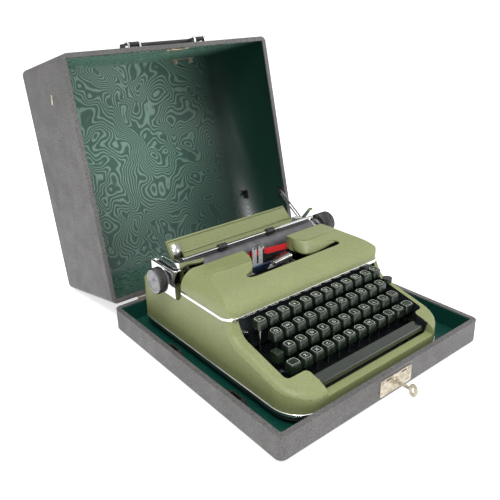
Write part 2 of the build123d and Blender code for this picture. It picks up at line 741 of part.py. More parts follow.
key_caps = []
key_levers = []
for row in range(len(key_row_y)):
    with BuildPart() as caps:
        for x in row_keys(row):
            key_cap(x, key_row_y[row], key_row_top[row], key_size)
    caps.part.label = f"key_caps_row_{row + 1}"
    key_caps.append(caps.part)
    with BuildPart() as levers:
        for x in row_keys(row):
            key_lever(x, key_row_y[row], key_row_top[row])
    levers.part.label = f"key_levers_row_{row + 1}"
    key_levers.append(levers.part)

home_x = key_x(2, home_key_index)
with BuildPart() as home_key:
    key_cap(home_x, key_row_y[2], key_row_top[2], key_size)
    key_lever(home_x, key_row_y[2], key_row_top[2])
home_key.part.label = "home_key"

with BuildPart() as backspace_key:
    key_cap(key_x(0, 0), key_row_y[0], key_row_top[0], key_size)
    key_lever(key_x(0, 0), key_row_y[0], key_row_top[0])
backspace_key.part.label = "backspace_key"

with BuildPart() as tabulator_key:
    rod_z(tabulator_radius, tabulator_x, tabulator_y, (tabulator_top - 6, tabulator_top))
    key_lever(tabulator_x + 3, tabulator_y, tabulator_top - 6 + key_cap_height)
tabulator_key.part.label = "tabulator_key"

with BuildPart() as shift_keys:
    for x in (shift_left_x, shift_right_x):
        key_cap(x, key_row_y[3], key_row_top[3], shift_key_width)
shift_keys.part.label = "shift_keys"

lock_bracket_z = lever_shaft_z + lever_height / 2
lock_stem_radius = 1.4
with BuildPart() as shift_levers:
    for x in (shift_left_x, shift_right_x - 0.5):
        key_lever(x, key_row_y[3], key_row_top[3])
    block((shift_left_x, shift_right_x), (shift_bar_y - 3, shift_bar_y + 3), (shift_bar_top - 2.5, shift_bar_top))
    for x in (shift_left_x, shift_right_x - 0.5):
        block((x - lever_thickness / 2, x + lever_thickness / 2), (shift_bar_y - 3, shift_bar_y + 3),
              (shift_bar_top - 2.5, lever_shaft_z))
    block((shift_lock_x - 2.6, shift_left_x), (key_row_y[2] - 2.6, key_row_y[2] + 2.6),
          (lock_bracket_z - 1.5, lock_bracket_z))
    rod_z(lock_stem_radius + running, shift_lock_x, key_row_y[2], (lock_bracket_z - 3, lock_bracket_z + 3),
          mode=Mode.SUBTRACT)
shift_levers.part.label = "shift_levers"

with BuildPart() as shift_lock_key:
    key_cap(shift_lock_x, key_row_y[2], key_row_top[2] - 3, 12.0)
    rod_z(lock_stem_radius, shift_lock_x, key_row_y[2], (lock_bracket_z - 5, key_row_top[2] - 3 - key_cap_height))
shift_lock_key.part.label = "shift_lock_key"

with BuildPart() as space_bar:
    block((space_bar_left, space_bar_right), (space_bar_front, space_bar_back), (space_bar_bottom, space_bar_top))
    fillet(space_bar.faces().sort_by(Axis.Z)[-1].edges(), 2.0)
space_bar.part.label = "space_bar"

space_arm_x = (first_key_x + 4.5 * key_slot, first_key_x + 36.5 * key_slot)
arm_front = (space_bar_front + space_bar_back) / 2
arm_outline = ((space_shaft_y, space_shaft_z - 3.5), (space_shaft_y, space_shaft_z + 3.5),
               (arm_front + 5, space_bar_bottom - 4), (arm_front + 5, space_bar_bottom),
               (arm_front - 5, space_bar_bottom), (arm_front - 5, space_bar_bottom - 9))
with BuildPart() as space_bar_arms:
    for x in space_arm_x:
        plate = (x - lever_thickness / 2, x + lever_thickness / 2)
        side_plate(arm_outline, plate)
        rod_x(3.5, plate, space_shaft_y, space_shaft_z)
        rod_x(space_shaft_radius + running, plate, space_shaft_y, space_shaft_z, mode=Mode.SUBTRACT)
space_bar_arms.part.label = "space_bar_arms"

# ---------------------------------------------------------------- type basket and ribbon


def bar_plane(angle):
    """A type bar's own plane at rest: Y along the bar, Z towards the side that prints."""
    lean = radians(angle)
    rest = radians(rest_angle)
    outward = Vector(sin(lean), 0, -cos(lean))
    tangent = Vector(cos(lean), 0, sin(lean))
    pivot = Vector(machine_x, segment_y, print_height) + outward * pivot_radius
    printing_side = outward * -sin(rest) + Vector(0, 1, 0) * cos(rest)
    return Plane(origin=pivot, x_dir=tangent * -1, z_dir=printing_side)


def type_bar(angle):
    """One type bar with its hub and type head."""
    with BuildPart(bar_plane(angle)) as bar:
        rod_x(2.8, (-type_bar_thickness / 2, type_bar_thickness / 2), 0, 0)
        block((-type_bar_thickness / 2, type_bar_thickness / 2), (0, type_bar_length),
              (-type_bar_width / 2, type_bar_width / 2))
        block((-0.9, 0.9), (type_bar_length - 5, type_bar_length + 5), (-1.5, 3.4))
    return bar.part


bar_angles = [step * type_bar_pitch for step in range(-type_bars_each_side, type_bars_each_side + 1)]
with BuildPart() as type_bars:
    for angle in bar_angles:
        if angle != 0:
            add(type_bar(angle))
type_bars.part.label = "type_bars"

with BuildPart() as type_bar_home:
    add(type_bar(0))
type_bar_home.part.label = "type_bar_home"

segment_outer = pivot_radius + 10.0
segment_inner = pivot_radius + 3.6
segment_reach = type_bars_each_side * type_bar_pitch + 8
with BuildSketch(Plane.XZ.offset(-segment_y - 5)) as segment_ring:
    with Locations((machine_x, print_height)):
        Circle(segment_outer)
        Circle(segment_inner, mode=Mode.SUBTRACT)
    with Locations((machine_x, print_height + segment_outer - segment_outer * cos(radians(segment_reach)))):
        Rectangle(segment_outer * 3, segment_outer * 2, mode=Mode.SUBTRACT)
with BuildSketch(Plane.XZ.offset(-segment_y - 5)) as segment_back:
    with Locations((machine_x, print_height)):
        Circle(segment_outer)
        Circle(pivot_radius - 2.4, mode=Mode.SUBTRACT)
    with Locations((machine_x, print_height + segment_outer - segment_outer * cos(radians(segment_reach)))):
        Rectangle(segment_outer * 3, segment_outer * 2, mode=Mode.SUBTRACT)
with BuildPart() as type_segment:
    extrude(segment_ring.sketch, amount=8)
    extrude(segment_back.sketch, amount=1.6)
type_segment.part.label = "type_segment"

guide_plate_y = ribbon_line_y - 2.4
guide_half_width = 9.0
guide_slot = 3.6
guide_slot_bottom = 93.0
guide_top = 116.0
with BuildPart() as type_guide:
    block((machine_x - guide_half_width, machine_x + guide_half_width), (guide_plate_y, guide_plate_y + 0.8),
          (84, guide_top))
    block((machine_x - guide_slot / 2, machine_x + guide_slot / 2), (guide_plate_y - 1, guide_plate_y + 2),
          (guide_slot_bottom, guide_top + 1), mode=Mode.SUBTRACT)
    block((inner_plate_x[0], inner_plate_x[1]), (guide_plate_y - 1.4, guide_plate_y + 0.8), (80, 84.5))
    for side in (-1, 1):
        with Locations(Location((machine_x + side * 5.8, guide_plate_y + 0.4, guide_top), (90, 0, 0))):
            Torus(3.2, 0.4)
    for plate_x in inner_plate_x:
        block((plate_x - plate_thickness / 2, plate_x + plate_thickness / 2), (guide_plate_y - 1.4, 84),
              (50, 50 + 8))
        block((plate_x - plate_thickness / 2, plate_x + plate_thickness / 2),
              (guide_plate_y - 1.4, guide_plate_y + 0.8), (50, 84.5))
type_guide.part.label = "type_guide"

ribbon_guide_y = guide_plate_y + 1.1
with BuildPart() as ribbon_guide:
    for side in (-1, 1):
        block(sorted((machine_x + side * 10.5, machine_x + side * 13)), (ribbon_guide_y, ribbon_guide_y + 0.8),
              (92, 116))
    block((machine_x - 13, machine_x + 13), (ribbon_guide_y, ribbon_guide_y + 0.8), (91, 93))
ribbon_guide.part.label = "ribbon_guide"

ribbon_turns = ((14.0, ribbon_line_y), (16.4, 54.6), (48.0, 50.0), (76.0, 26.0))
ribbon_path = [(machine_x - x, y) for x, y in reversed(ribbon_turns)] + [(machine_x + x, y) for x, y in ribbon_turns]
with BuildPart() as ribbon:
    for start, end in zip(ribbon_path, ribbon_path[1:]):
        run = hypot(end[0] - start[0], end[1] - start[1])
        heading = degrees(atan2(end[1] - start[1], end[0] - start[0]))
        middle = ((start[0] + end[0]) / 2, (start[1] + end[1]) / 2, ribbon_bottom + ribbon_height / 2)
        with Locations(Location(middle, (0, 0, heading))):
            Box(run + ribbon_thickness / 2, ribbon_thickness, ribbon_height)
ribbon.part.label = "ribbon"

cup_floor = ribbon_bottom - 6.0
with BuildPart() as spool_cups:
    for side in (-1, 1):
        cup_x = machine_x + side * spool_offset
        rest_x = machine_x + side * (body_width / 2 - trim_width - 1.0)
        rod_z(spool_radius + 4, cup_x, spool_y, (cup_floor, cup_floor + 4.5))
        rod_z(spool_radius + 2.5, cup_x, spool_y, (cup_floor + 1.5, cup_floor + 5), mode=Mode.SUBTRACT)
        rod_z(spindle_radius, cup_x, spool_y, (cup_floor, ribbon_bottom + ribbon_height + 3.5))
        block(sorted((cup_x, rest_x)), (spool_y - 8, spool_y + 8), (body_top, cup_floor + 1.5))
spool_cups.part.label = "spool_cups"


def ribbon_spool(centre_x):
    """A spool wound with ribbon, with a bore for its spindle."""
    low = ribbon_bottom - 1.8
    high = ribbon_bottom + ribbon_height + 1.8
    with BuildPart() as spool:
        rod_z(spool_radius, centre_x, spool_y, (low, low + 1.2))
        rod_z(spool_pack_radius, centre_x, spool_y, (low, high))
        rod_z(spool_radius, centre_x, spool_y, (high - 1.2, high))
        rod_z(spindle_radius + running, centre_x, spool_y, (low - 1, high + 1), mode=Mode.SUBTRACT)
        for turn in (0, 120, 240):
            hole_x = centre_x + 12 * cos(radians(turn))
            hole_y = spool_y + 12 * sin(radians(turn))
            rod_z(1.6, hole_x, hole_y, (high - 1.0, high + 1), mode=Mode.SUBTRACT)
    return spool.part


ribbon_spool_left = ribbon_spool(machine_x - spool_offset)
ribbon_spool_left.label = "ribbon_spool_left"
ribbon_spool_right = ribbon_spool(machine_x + spool_offset)
ribbon_spool_right.label = "ribbon_spool_right"

# ---------------------------------------------------------------- carriage

cage_y = (rail_front + rail_back) / 2
cage_z = (rail_top + carriage_bottom) / 2
with BuildPart() as carriage_cage:
    block((machine_x - cage_half_length, machine_x + cage_half_length), (cage_y - 8, cage_y + 8),
          (cage_z - 0.8, cage_z + 0.8))
    for offset_x in (-cage_half_length + 3, cage_half_length - 3):
        rod_y(roller_radius, machine_x + offset_x, (cage_y - 6, cage_y + 6), cage_z)
carriage_cage.part.label = "carriage_cage"

lever_pin_radius = 2.0
block_top = end_plate_top
with BuildPart() as carriage_frame:
    block((carriage_left - end_plate, carriage_right + end_plate), (carriage_front + 3, carriage_back),
          (carriage_bottom, carriage_bottom + carriage_plate))
    block((carriage_left - end_plate, carriage_right + end_plate), (carriage_back - 3, carriage_back),
          (carriage_bottom, 104))
    block((left_block_end, carriage_left), (carriage_front, 112), (carriage_bottom, block_top))
    block((carriage_right, right_block_end), (carriage_front + 2, 112), (carriage_bottom, block_top - 4))
    rod_x(platen_shaft_radius + running, (left_block_end - 1, right_block_end + 1), platen_y, platen_z,
          mode=Mode.SUBTRACT)
    rod_x(1.5 + running, (carriage_left - 2.5, carriage_left + 1), bail_pivot_y, bail_pivot_z, mode=Mode.SUBTRACT)
    rod_x(1.5 + running, (carriage_right - 1, carriage_right + 2.5), bail_pivot_y, bail_pivot_z, mode=Mode.SUBTRACT)
    rod_x(1.5 + running, (right_block_end - 5, right_block_end + 1), release_pivot_y, release_pivot_z,
          mode=Mode.SUBTRACT)
    rod_z(lever_pin_radius + running, line_lever_pivot[0], line_lever_pivot[1], (block_top - 8, block_top + 1),
          mode=Mode.SUBTRACT)
carriage_frame.part.label = "carriage_frame"

with BuildPart() as platen:
    rod_x(platen_radius, (machine_x - platen_half_length, machine_x + platen_half_length), platen_y, platen_z)
    rod_x(platen_shaft_radius, (machine_x - platen_half_length - 1, machine_x + platen_half_length + 1),
          platen_y, platen_z, mode=Mode.SUBTRACT)
platen.part.label = "platen"

left_collar_end = left_block_end - 5.0
left_knob_end = left_collar_end - knob_left_width
right_collar_end = right_block_end + 9.0
right_knob_end = right_collar_end + knob_right_width
with BuildPart() as platen_shaft:
    rod_x(platen_shaft_radius, (left_knob_end + 2, right_knob_end - 2), platen_y, platen_z)
platen_shaft.part.label = "platen_shaft"

knob_spans = ((left_knob_end, left_collar_end, left_collar_end, left_block_end - seat_gap),
              (right_collar_end, right_knob_end, right_block_end + seat_gap, right_collar_end))
with BuildPart() as platen_knobs:
    for knob_start, knob_end, collar_start, collar_end in knob_spans:
        rod_x(knob_radius, (knob_start, knob_end), platen_y, platen_z)
        chamfer(platen_knobs.faces().filter_by(Axis.X).group_by(SortBy.AREA)[-1].edges(), 1.2)
        rod_x(collar_radius, (collar_start, collar_end), platen_y, platen_z)
    rod_x(platen_shaft_radius, (left_knob_end + 2, right_knob_end - 2), platen_y, platen_z, mode=Mode.SUBTRACT)
platen_knobs.part.label = "platen_knobs"

table_rise = Vector(0, paper_table_top[0] - paper_table_bottom[0], paper_table_top[1] - paper_table_bottom[1])
table_plane = Plane(origin=(machine_x, paper_table_bottom[0], paper_table_bottom[1]), x_dir=(1, 0, 0),
                    z_dir=Vector(1, 0, 0).cross(table_rise))
bracket_x = (machine_x - 90.0, machine_x + 90.0)
table_outline = ((-paper_table_half_width, 0), (paper_table_half_width, 0), (paper_table_half_width, 18),
                 (paper_table_half_width - 7, table_rise.length), (-paper_table_half_width, table_rise.length))
with BuildPart() as paper_table:
    with BuildSketch(table_plane):
        Polygon(*table_outline, align=None)
    extrude(amount=-paper_table_thickness)
    for x in bracket_x:
        block((x - 2, x + 2), (paper_table_bottom[0] + 1.5, carriage_back - 3), (98, 103))
paper_table.part.label = "paper_table"

arm_left = machine_x - platen_half_length - 1.0
arm_right = machine_x + platen_half_length + 1.0
arm_rise = Vector(0, bail_y - bail_pivot_y, bail_z - bail_pivot_z)
arm_angle = degrees(atan2(arm_rise.Z, arm_rise.Y))
with BuildPart() as paper_bail:
    rod_x(bail_rod_radius, (arm_left, arm_right), bail_y, bail_z)
    for start, end in ((arm_left + 4, bail_roller_x[0] - bail_roller_width / 2 - 1),
                       (bail_roller_x[0] + bail_roller_width / 2 + 1, bail_roller_x[1] - bail_roller_width / 2 - 1),
                       (bail_roller_x[1] + bail_roller_width / 2 + 1, arm_right - 4)):
        block((start, end), (bail_y - 3.5, bail_y + 3.5), (bail_z - 0.5, bail_z + 0.6))
    for arm_x, pin_end in ((arm_left, carriage_left - 2), (arm_right, carriage_right + 2)):
        plate = (arm_x - 0.5, arm_x + 0.5)
        with Locations(Location((arm_x, (bail_y + bail_pivot_y) / 2, (bail_z + bail_pivot_z) / 2), (arm_angle, 0, 0))):
            Box(1.0, arm_rise.length, 4)
        rod_x(2.6, plate, bail_y, bail_z)
        rod_x(3, plate, bail_pivot_y, bail_pivot_z)
        rod_x(1.5, sorted((arm_x, pin_end)), bail_pivot_y, bail_pivot_z)
paper_bail.part.label = "paper_bail"

with BuildPart() as bail_rollers:
    for x in bail_roller_x:
        span = (x - bail_roller_width / 2, x + bail_roller_width / 2)
        rod_x(bail_roller_radius, span, bail_y, bail_z)
        rod_x(bail_rod_radius + running, span, bail_y, bail_z, mode=Mode.SUBTRACT)
bail_rollers.part.label = "bail_rollers"

lever_low = block_top + 1.0
lever_high = lever_low + line_lever_thickness
lever_outline = ((-142, 106), (-142, 64), (-138, 57.5), (-110, 52.5), (-104, 52.5), (-104, 55.5),
                 (-110, 55.5), (-136, 61.5), (-138, 65), (-138, 106))
blade_outline = ((-142, 66), (-142, 64), (-138, 57.5), (-110, 52.5), (-104, 52.5), (-104, 54.5),
                 (-110, 54.5), (-136.5, 59.8), (-140, 66))
with BuildPart() as line_space_lever:
    with BuildSketch(Plane.XY.offset(lever_low)):
        Polygon(*lever_outline, align=None)
        with Locations(line_lever_pivot):
            Circle(5)
    extrude(amount=line_lever_thickness)
    with BuildSketch(Plane.XY.offset(lever_low)):
        Polygon(*blade_outline, align=None)
    extrude(amount=lever_blade_height)
    rod_z(lever_pin_radius, line_lever_pivot[0], line_lever_pivot[1], (block_top - 6, lever_high))
line_space_lever.part.label = "line_space_lever"

release_x = right_block_end + side_gap
release_outline = ((release_pivot_y - 3, release_pivot_z - 3), (release_pivot_y + 4, release_pivot_z),
                   (86, 138), (80, 139), (79, 136), (84, 134))
with BuildPart() as release_lever:
    side_plate(release_outline, (release_x, release_x + 1.6))
    rod_x(4, (release_x, release_x + 1.6), release_pivot_y, release_pivot_z)
    rod_x(1.5, (release_x - 4, release_x + 1.6), release_pivot_y, release_pivot_z)
release_lever.part.label = "release_lever"

# ---------------------------------------------------------------- write every piece

pieces = [
    case_tray.part, tray_lining.part, case_feet.part, lock_plate.part, case_key.part,
    tray_brackets.part, tray_hinges.part, lid_shell.part, lid_lining.part, lid_hinges.part,
    handle_mounts.part, handle_grip.part, lid_hasp.part, tool_clip.part, lid_stay.part,
    stay_bracket.part, body_shell.part, ribbon_selector.part, base_pan.part, machine_feet.part,
    trim_strip.part, top_cover.part, frame_plates.part, lever_shafts.part, carriage_rail.part,
    *key_caps, *key_levers, home_key.part, backspace_key.part, tabulator_key.part, shift_keys.part,
    shift_levers.part, shift_lock_key.part, space_bar.part, space_bar_arms.part, type_bars.part,
    type_bar_home.part, type_segment.part, type_guide.part, ribbon_guide.part, ribbon.part,
    spool_cups.part, ribbon_spool_left, ribbon_spool_right, carriage_cage.part, carriage_frame.part,
    platen.part, platen_shaft.part, platen_knobs.part, paper_table.part, paper_bail.part,
    bail_rollers.part, line_space_lever.part, release_lever.part,
]
os.makedirs("parts", exist_ok=True)
for piece in pieces:
    export_step(piece, f"parts/{piece.label}.step")
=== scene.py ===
import bmesh
import bpy
import math
from mathutils import Matrix, Vector


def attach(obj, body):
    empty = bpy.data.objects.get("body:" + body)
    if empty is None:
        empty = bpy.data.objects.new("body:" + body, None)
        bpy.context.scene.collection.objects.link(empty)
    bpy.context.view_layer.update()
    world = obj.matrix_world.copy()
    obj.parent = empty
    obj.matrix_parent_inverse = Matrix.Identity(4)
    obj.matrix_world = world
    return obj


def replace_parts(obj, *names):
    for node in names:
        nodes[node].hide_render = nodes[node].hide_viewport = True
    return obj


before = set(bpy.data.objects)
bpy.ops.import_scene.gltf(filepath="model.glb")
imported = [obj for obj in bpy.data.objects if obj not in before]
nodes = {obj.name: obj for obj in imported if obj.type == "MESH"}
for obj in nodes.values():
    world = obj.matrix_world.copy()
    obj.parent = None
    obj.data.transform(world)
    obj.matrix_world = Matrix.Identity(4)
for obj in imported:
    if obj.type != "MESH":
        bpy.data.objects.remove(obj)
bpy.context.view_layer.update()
MM = 0.001


# ------------------------------------------------------------------ materials

class Nodes:
    """Short names for building one material's node tree."""

    def __init__(self, name):
        self.mat = bpy.data.materials.new(name)
        self.mat.use_nodes = True
        self.tree = self.mat.node_tree
        self.bsdf = self.tree.nodes["Principled BSDF"]
        self.coord = self.tree.nodes.new("ShaderNodeTexCoord").outputs["Object"]

    def node(self, kind, **values):
        made = self.tree.nodes.new(kind)
        for key, value in values.items():
            setattr(made, key, value)
        return made

    def link(self, source, target):
        self.tree.links.new(source, target)

    def noise(self, scale, detail=2.0, rough=0.5, distortion=0.0, coord=None):
        made = self.node("ShaderNodeTexNoise")
        made.inputs["Scale"].default_value = scale
        made.inputs["Detail"].default_value = detail
        made.inputs["Roughness"].default_value = rough
        made.inputs["Distortion"].default_value = distortion
        self.link(coord or self.coord, made.inputs["Vector"])
        return made.outputs["Fac"]

    def cells(self, scale, feature="F1", coord=None):
        made = self.node("ShaderNodeTexVoronoi", feature=feature)
        made.inputs["Scale"].default_value = scale
        self.link(coord or self.coord, made.inputs["Vector"])
        return made.outputs["Distance"]

    def math(self, kind, a, b=None, clamp=False):
        made = self.node("ShaderNodeMath", operation=kind, use_clamp=clamp)
        for socket, value in zip(made.inputs, (a, b)):
            if value is None:
                continue
            if isinstance(value, (int, float)):
                socket.default_value = value
            else:
                self.link(value, socket)
        return made.outputs[0]

    def span(self, value, low, high, to_low=0.0, to_high=1.0):
        made = self.node("ShaderNodeMapRange")
        self.link(value, made.inputs["Value"])
        for name, number in (("From Min", low), ("From Max", high), ("To Min", to_low), ("To Max", to_high)):
            made.inputs[name].default_value = number
        return made.outputs["Result"]

    def mix(self, factor, a, b):
        made = self.node("ShaderNodeMix", data_type="RGBA")
        self.link(factor, made.inputs["Factor"])
        for socket, value in ((made.inputs[6], a), (made.inputs[7], b)):
            if isinstance(value, tuple):
                socket.default_value = (*value, 1.0)
            else:
                self.link(value, socket)
        return made.outputs[2]

    def colour(self, source):
        if isinstance(source, tuple):
            self.bsdf.inputs["Base Color"].default_value = (*source, 1.0)
        else:
            self.link(source, self.bsdf.inputs["Base Color"])

    def rough(self, source):
        if isinstance(source, (int, float)):
            self.bsdf.inputs["Roughness"].default_value = source
        else:
            self.link(source, self.bsdf.inputs["Roughness"])

    def set(self, **values):
        for key, value in values.items():
            self.bsdf.inputs[key.replace("_", " ")].default_value = value

    def bump(self, height, strength, distance):
        made = self.node("ShaderNodeBump")
        made.inputs["Strength"].default_value = strength
        made.inputs["Distance"].default_value = distance
        self.link(height, made.inputs["Height"])
        previous = self.bsdf.inputs["Normal"].links
        if previous:
            self.link(previous[0].from_socket, made.inputs["Normal"])
        self.link(made.outputs["Normal"], self.bsdf.inputs["Normal"])


def plain(name, colour, darker, rough, scale=60.0, metallic=0.0, bump=0.0, bump_scale=900.0, coat=0.0):
    """A finish with slow colour drift, fine roughness change and an optional fine bump."""
    n = Nodes(name)
    drift = n.span(n.noise(scale, 3.0), 0.35, 0.68)
    n.colour(n.mix(drift, colour, darker))
    n.rough(n.span(n.noise(scale * 4, 3.0), 0.3, 0.7, rough * 0.8, rough * 1.25))
    n.set(Metallic=metallic, Coat_Weight=coat)
    if bump:
        n.bump(n.noise(bump_scale, 3.0), bump, 0.0004)
    return n.mat


def leathercloth(name, base, light):
    n = Nodes(name)
    grain = n.cells(430.0)
    fine = n.noise(900.0, 3.0)
    drift = n.span(n.noise(9.0, 4.0, 0.6), 0.3, 0.7)
    body = n.mix(drift, base, light)
    pits = n.span(n.math("ADD", grain, n.math("MULTIPLY", fine, 0.5)), 0.35, 0.75, 1.0, 0.0)
    dark = tuple(c * 0.35 for c in base)
    n.colour(n.mix(n.math("MULTIPLY", pits, 0.9), body, dark))
    n.rough(n.span(n.noise(40.0, 2.0), 0.3, 0.7, 0.5, 0.66))
    n.set(Specular_IOR_Level=0.45)
    n.bump(n.math("ADD", grain, n.math("MULTIPLY", fine, 0.8)), 0.7, 0.0008)
    return n.mat


def crackle(name, base, light):
    n = Nodes(name)
    grain = n.noise(850.0, 5.0, 0.65, 0.6)
    cells = n.cells(520.0)
    drift = n.span(n.noise(14.0, 3.0), 0.3, 0.7)
    body = n.mix(drift, base, light)
    specks = n.span(grain, 0.36, 0.66)
    dark = tuple(c * 0.7 for c in base)
    n.colour(n.mix(specks, dark, body))
    n.rough(n.span(n.noise(60.0), 0.3, 0.7, 0.36, 0.48))
    n.set(Specular_IOR_Level=0.5)
    n.bump(n.math("ADD", grain, n.math("MULTIPLY", cells, 0.5)), 0.5, 0.0006)
    return n.mat


def figured_lining(name, dark, mid, light, figure):
    """Glossy lining paper printed with watered-silk contour lines, with painted shade: the ground darkens and the
    lines fade towards the right, and it is darker towards the bottom.
    """
    n = Nodes(name)
    place = n.node("ShaderNodeSeparateXYZ")
    n.link(n.coord, place.inputs[0])
    swirl = n.noise(12.0, 2.0, 0.42, 0.2)
    waver = n.math("MULTIPLY", n.noise(260.0, 2.0), 0.9)
    lines = n.math("SINE", n.math("ADD", n.math("MULTIPLY", swirl, 250.0), waver))
    ribs = n.math("SINE", n.math("MULTIPLY", place.outputs["X"], 1500.0))
    lines = n.span(n.math("ADD", lines, n.math("MULTIPLY", ribs, 0.2)), -0.2, 1.0)
    # Painted shade: towards larger X (the right) the ground turns dark and the figure fades; the lining is also
    # darker towards the bottom.
    side = n.span(place.outputs["X"], 0.165, 0.02, 0.0, 1.0)
    height = n.span(place.outputs["Z"], 0.05, 0.24, 0.30, 1.0)
    patch = n.span(n.noise(5.0, 2.0), 0.25, 0.55, 0.65, 1.0)
    gain = n.math("MULTIPLY", n.math("MULTIPLY", side, height), patch, clamp=True)
    fade = n.math("MULTIPLY", gain, figure, clamp=True)
    ground = n.mix(fade, dark, mid)
    n.colour(n.mix(n.math("MULTIPLY", lines, fade), ground, light))
    n.rough(n.span(lines, 0.0, 1.0, 0.42, 0.3))
    n.set(Specular_IOR_Level=0.5)
    n.bump(lines, 0.12, 0.0003)
    return n.mat


def two_colour_ribbon(name, split):
    n = Nodes(name)
    place = n.node("ShaderNodeSeparateXYZ")
    n.link(n.coord, place.inputs[0])
    upper = n.span(place.outputs["Z"], split - 0.0002, split + 0.0002)
    n.colour(n.mix(upper, (0.01, 0.01, 0.012), (0.75, 0.02, 0.025)))
    n.rough(0.85)
    n.bump(n.noise(3000.0, 1.0), 0.4, 0.0002)
    return n.mat


M = {
    "case": leathercloth("case_cloth", (0.088, 0.085, 0.084), (0.120, 0.116, 0.115)),
    "lining": figured_lining("lid_lining_figured", (0.0006, 0.020, 0.013), (0.056, 0.138, 0.104),
                             (0.24, 0.40, 0.32), 1.0),
    "tray_lining": figured_lining("tray_lining_plain", (0.0008, 0.036, 0.026), (0.004, 0.075, 0.052),
                                  (0.03, 0.14, 0.10), 0.5),
    "green": crackle("green_enamel", (0.225, 0.255, 0.105), (0.262, 0.292, 0.128)),
    "chrome": plain("bright_chrome", (0.86, 0.86, 0.85), (0.66, 0.66, 0.66), 0.10, 40.0, 1.0),
    "white_metal": plain("plated_guide", (0.80, 0.82, 0.80), (0.62, 0.66, 0.66), 0.3, 90.0, 0.35),
    "steel": plain("dull_steel", (0.60, 0.60, 0.58), (0.40, 0.40, 0.39), 0.30, 90.0, 1.0, 0.1),
    "blued": plain("blued_steel", (0.02, 0.06, 0.13), (0.008, 0.02, 0.04), 0.3, 60.0, 0.4),
    "nickel": plain("worn_nickel", (0.52, 0.47, 0.37), (0.30, 0.26, 0.19), 0.38, 160.0, 0.6, 0.2),
    "key": plain("key_gloss", (0.007, 0.013, 0.008), (0.014, 0.023, 0.013), 0.2, 80.0, 0.0, 0.0, 900.0, 0.1),
    "bar": plain("bar_gloss", (0.006, 0.011, 0.007), (0.012, 0.019, 0.011), 0.1, 80.0, 0.0, 0.0, 900.0, 0.6),
    "key_line": plain("key_legend_white", (0.72, 0.76, 0.68), (0.55, 0.58, 0.50), 0.45, 300.0),
    "black": plain("black_gloss", (0.012, 0.012, 0.012), (0.020, 0.020, 0.020), 0.22, 80.0, 0.0, 0.05),
    "pan": plain("dark_enamel", (0.010, 0.014, 0.016), (0.016, 0.020, 0.022), 0.35, 60.0),
    "grey_metal": plain("knob_face_grey", (0.26, 0.26, 0.27), (0.17, 0.17, 0.18), 0.42, 120.0, 0.6, 0.1),
    "rubber": plain("platen_rubber", (0.085, 0.085, 0.092), (0.125, 0.125, 0.130), 0.5, 90.0, 0.0, 0.15, 1600.0),
    "foot": plain("foot_rubber", (0.02, 0.02, 0.02), (0.03, 0.03, 0.03), 0.7, 90.0, 0.0, 0.3, 700.0),
    "leather": leathercloth("handle_leather", (0.020, 0.020, 0.021), (0.035, 0.035, 0.036)),
    "ribbon": two_colour_ribbon("ribbon_cloth", 0.1045),
}


def paint(obj, *keys):
    """Give a piece its materials, in slot order."""
    obj.data.materials.clear()
    for key in keys:
        obj.data.materials.append(M[key])


# ------------------------------------------------------------------ edges of the CAD pieces

def soften(obj, width=0.35, angle=32.0, segments=2):
    """Join the mesh's faces, round its sharp edges a little and shade it smoothly."""
    weld = obj.modifiers.new("weld", "WELD")
    weld.merge_threshold = 0.00002
    if width:
        bevel = obj.modifiers.new("bevel", "BEVEL")
        bevel.width = width * MM
        bevel.segments = segments
        bevel.limit_method = "ANGLE"
        bevel.angle_limit = math.radians(angle)
        bevel.use_clamp_overlap = True
        bevel.harden_normals = False
    normals = obj.modifiers.new("normals", "WEIGHTED_NORMAL")
    normals.keep_sharp = True
    for polygon in obj.data.polygons:
        polygon.use_smooth = True


FINISH = {
    "case_tray": ("case", 0.8), "tray_lining": ("tray_lining", 0.3), "case_feet": ("foot", 0.4),
    "lock_plate": ("nickel", 0.3), "case_key": ("nickel", 0.4), "tray_brackets": ("black", 0.5),
    "tray_hinges": ("nickel", 0.2), "lid_shell": ("case", 0.8), "lid_lining": ("lining", 0.0),
    "lid_hinges": ("nickel", 0.2), "handle_mounts": ("chrome", 0.3), "handle_grip": ("leather", 1.2),
    "lid_hasp": ("nickel", 0.3), "tool_clip": ("nickel", 0.2), "lid_stay": ("steel", 0.2),
    "stay_bracket": ("black", 0.2), "body_shell": ("green", 0.8), "ribbon_selector": ("chrome", 0.4),
    "base_pan": ("pan", 0.3), "machine_feet": ("foot", 0.4), "trim_strip": ("chrome", 0.5),
    "top_cover": ("green", 0.7), "frame_plates": ("pan", 0.1), "lever_shafts": ("steel", 0.0),
    "carriage_rail": ("steel", 0.2), "key_levers_row_1": ("pan", 0.0), "key_levers_row_2": ("pan", 0.0),
    "key_levers_row_3": ("pan", 0.0), "key_levers_row_4": ("pan", 0.0), "shift_levers": ("pan", 0.0),
    "key_caps_row_1": ("key", 0.6), "key_caps_row_2": ("key", 0.6), "key_caps_row_3": ("key", 0.6),
    "key_caps_row_4": ("key", 0.6), "home_key": ("key", 0.5), "backspace_key": ("key", 0.5),
    "tabulator_key": ("key", 0.5), "shift_keys": ("key", 0.6), "shift_lock_key": ("key", 0.6),
    "space_bar": ("bar", 2.6), "space_bar_arms": ("pan", 0.0), "type_bars": ("steel", 0.0),
    "type_bar_home": ("steel", 0.0), "type_segment": ("blued", 0.2), "type_guide": ("white_metal", 0.1),
    "ribbon_guide": ("chrome", 0.1), "ribbon": ("ribbon", 0.0), "spool_cups": ("pan", 0.2),
    "ribbon_spool_left": ("black", 0.2), "ribbon_spool_right": ("black", 0.2),
    "carriage_cage": ("steel", 0.1), "carriage_frame": ("chrome", 1.0), "platen": ("rubber", 0.5),
    "platen_shaft": ("steel", 0.0), "platen_knobs": ("black", 0.8), "paper_table": ("green", 0.4),
    "paper_bail": ("chrome", 0.2), "bail_rollers": ("black", 0.4), "line_space_lever": ("chrome", 0.5),
    "release_lever": ("chrome", 0.3),
}
